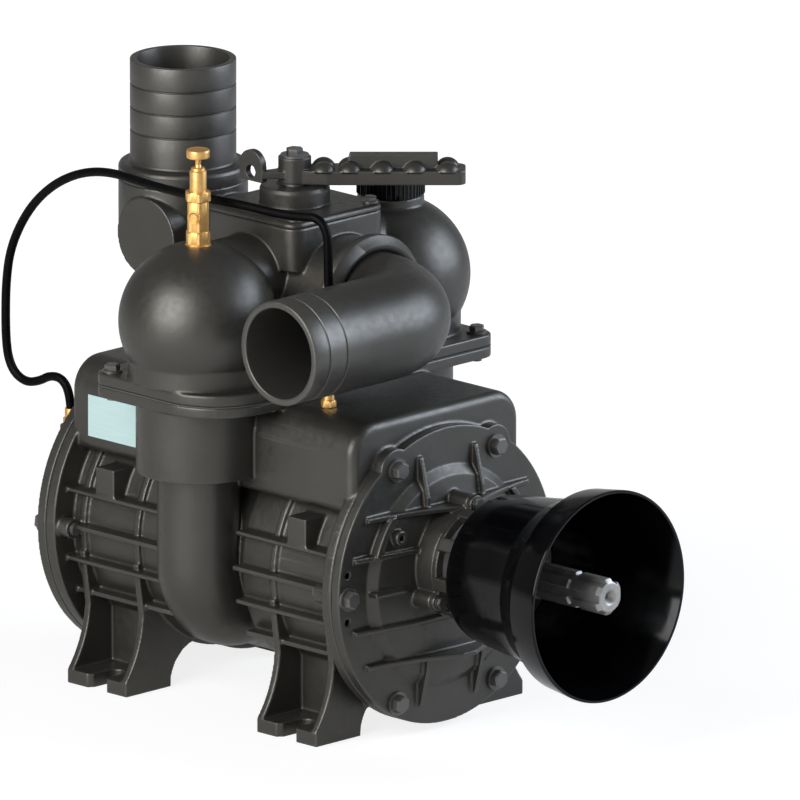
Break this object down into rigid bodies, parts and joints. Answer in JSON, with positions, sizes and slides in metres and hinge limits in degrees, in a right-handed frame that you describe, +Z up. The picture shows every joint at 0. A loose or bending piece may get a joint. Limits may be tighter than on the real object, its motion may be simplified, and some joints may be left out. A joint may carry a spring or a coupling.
{
  "type": "vacuum pump",
  "caption": "Rotary vane vacuum pump with four-way valve manifold, exhaust elbow, hose connector, oil hose and guarded splined drive shaft.",
  "frame": {"origin": "midway between the four foot slots, on the plane the feet stand on", "axes": "+Z up, along the hose tail; -Y along the drive shaft out of the guard; +X to the right when looking at the shaft end"},
  "size_m": [0.404, 0.7439, 0.584],
  "materials": {
    "casting": "satin dark grey paint over cast iron",
    "bolt_steel": "painted over with the casting",
    "shaft_steel": "machined",
    "bearing_steel": "ground",
    "rotor_iron": "machined",
    "vane_fibre": "oiled laminate",
    "seal_rubber": "smooth rubber",
    "gasket": "pressed sheet",
    "guard_plastic": "moulded black plastic",
    "cap_plastic": "moulded black plastic",
    "brass": "turned",
    "sight_glass": "clear",
    "hose_rubber": "smooth black",
    "plate_blue": "light blue lacquer"
  },
  "bodies": {
    "pump": {"pump_casing": "casting", "front_cover": "casting", "rear_cover": "casting", "manifold": "casting", "valve_cover": "casting", "exhaust_elbow": "casting", "hose_connector": "casting", "oil_pump_body": "casting", "oil_pump_cover": "casting", "guard_ring": "casting", "front_cover_bolts": "bolt_steel", "rear_cover_bolts": "bolt_steel", "manifold_bolts": "bolt_steel", "valve_cover_bolts": "bolt_steel", "guard_ring_screws": "bolt_steel", "guard_screws": "bolt_steel", "oil_pump_screws": "bolt_steel", "oil_idler_pin": "shaft_steel", "cage_plate": "shaft_steel", "bearing_cap": "shaft_steel", "front_bearing_outer": "bearing_steel", "rear_bearing_outer": "bearing_steel", "check_cage": "rotor_iron", "front_shaft_seal": "seal_rubber", "rear_shaft_seal": "seal_rubber", "valve_stem_seal": "seal_rubber", "elbow_seal": "seal_rubber", "front_gasket": "gasket", "rear_gasket": "gasket", "manifold_gasket": "gasket", "pto_guard": "guard_plastic", "lubricator_body": "brass", "oil_fitting_front": "brass", "oil_fitting_rear": "brass", "lubricator_glass": "sight_glass", "oil_hose": "hose_rubber", "name_plate": "plate_blue"},
    "rotor_group": {"rotor_shaft": "shaft_steel", "rotor_key": "shaft_steel", "rotor": "rotor_iron", "vanes": "vane_fibre", "front_bearing_inner": "bearing_steel", "rear_bearing_inner": "bearing_steel", "oil_drive_gear": "shaft_steel"},
    "front_rollers": {"front_bearing_rollers": "bearing_steel"},
    "rear_rollers": {"rear_bearing_rollers": "bearing_steel"},
    "idler": {"oil_idler_gear": "shaft_steel"},
    "valve": {"valve_plug": "rotor_iron", "valve_handle": "casting", "handle_washer": "bolt_steel", "handle_bolt": "bolt_steel"},
    "filler_cap": {"oil_filler_cap": "cap_plastic"},
    "knob": {"lubricator_knob": "brass"},
    "ball": {"check_ball": "seal_rubber"}
  },
  "joints": [
    {"name": "rotor_spin", "type": "hinge", "parent": "pump", "child": "rotor_group", "pos_m": [0, 0, 0.1663], "axis": [0, 1, 0], "continuous": true},
    {"name": "front_roller_spin", "type": "hinge", "parent": "pump", "child": "front_rollers", "pos_m": [0, -0.2165, 0.1663], "axis": [0, 1, 0], "continuous": true},
    {"name": "rear_roller_spin", "type": "hinge", "parent": "pump", "child": "rear_rollers", "pos_m": [0, 0.2165, 0.1663], "axis": [0, 1, 0], "continuous": true},
    {"name": "idler_spin", "type": "hinge", "parent": "pump", "child": "idler", "pos_m": [0, 0.253, 0.1383], "axis": [0, 1, 0], "continuous": true},
    {"name": "valve_turn", "type": "hinge", "parent": "pump", "child": "valve", "pos_m": [0, 0, 0.45], "axis": [0, 0, 1], "range_deg": [-45, 45]},
    {"name": "filler_cap_turn", "type": "hinge", "parent": "pump", "child": "filler_cap", "pos_m": [0.127, 0, 0.457], "axis": [0, 0, 1], "range_deg": [0, 360]},
    {"name": "knob_turn", "type": "hinge", "parent": "pump", "child": "knob", "pos_m": [-0.127, 0, 0.536], "axis": [0, 0, 1], "range_deg": [0, 360]},
    {"name": "ball_lift", "type": "slide", "parent": "pump", "child": "ball", "axis": [0, 0, 1], "range_m": [0, 0.02]}
  ],
  "couplings": [
    {"joint": "front_roller_spin", "follows": "rotor_spin", "ratio": 0.4308},
    {"joint": "rear_roller_spin", "follows": "rotor_spin", "ratio": 0.4308},
    {"joint": "idler_spin", "follows": "rotor_spin", "ratio": -1}
  ]
}
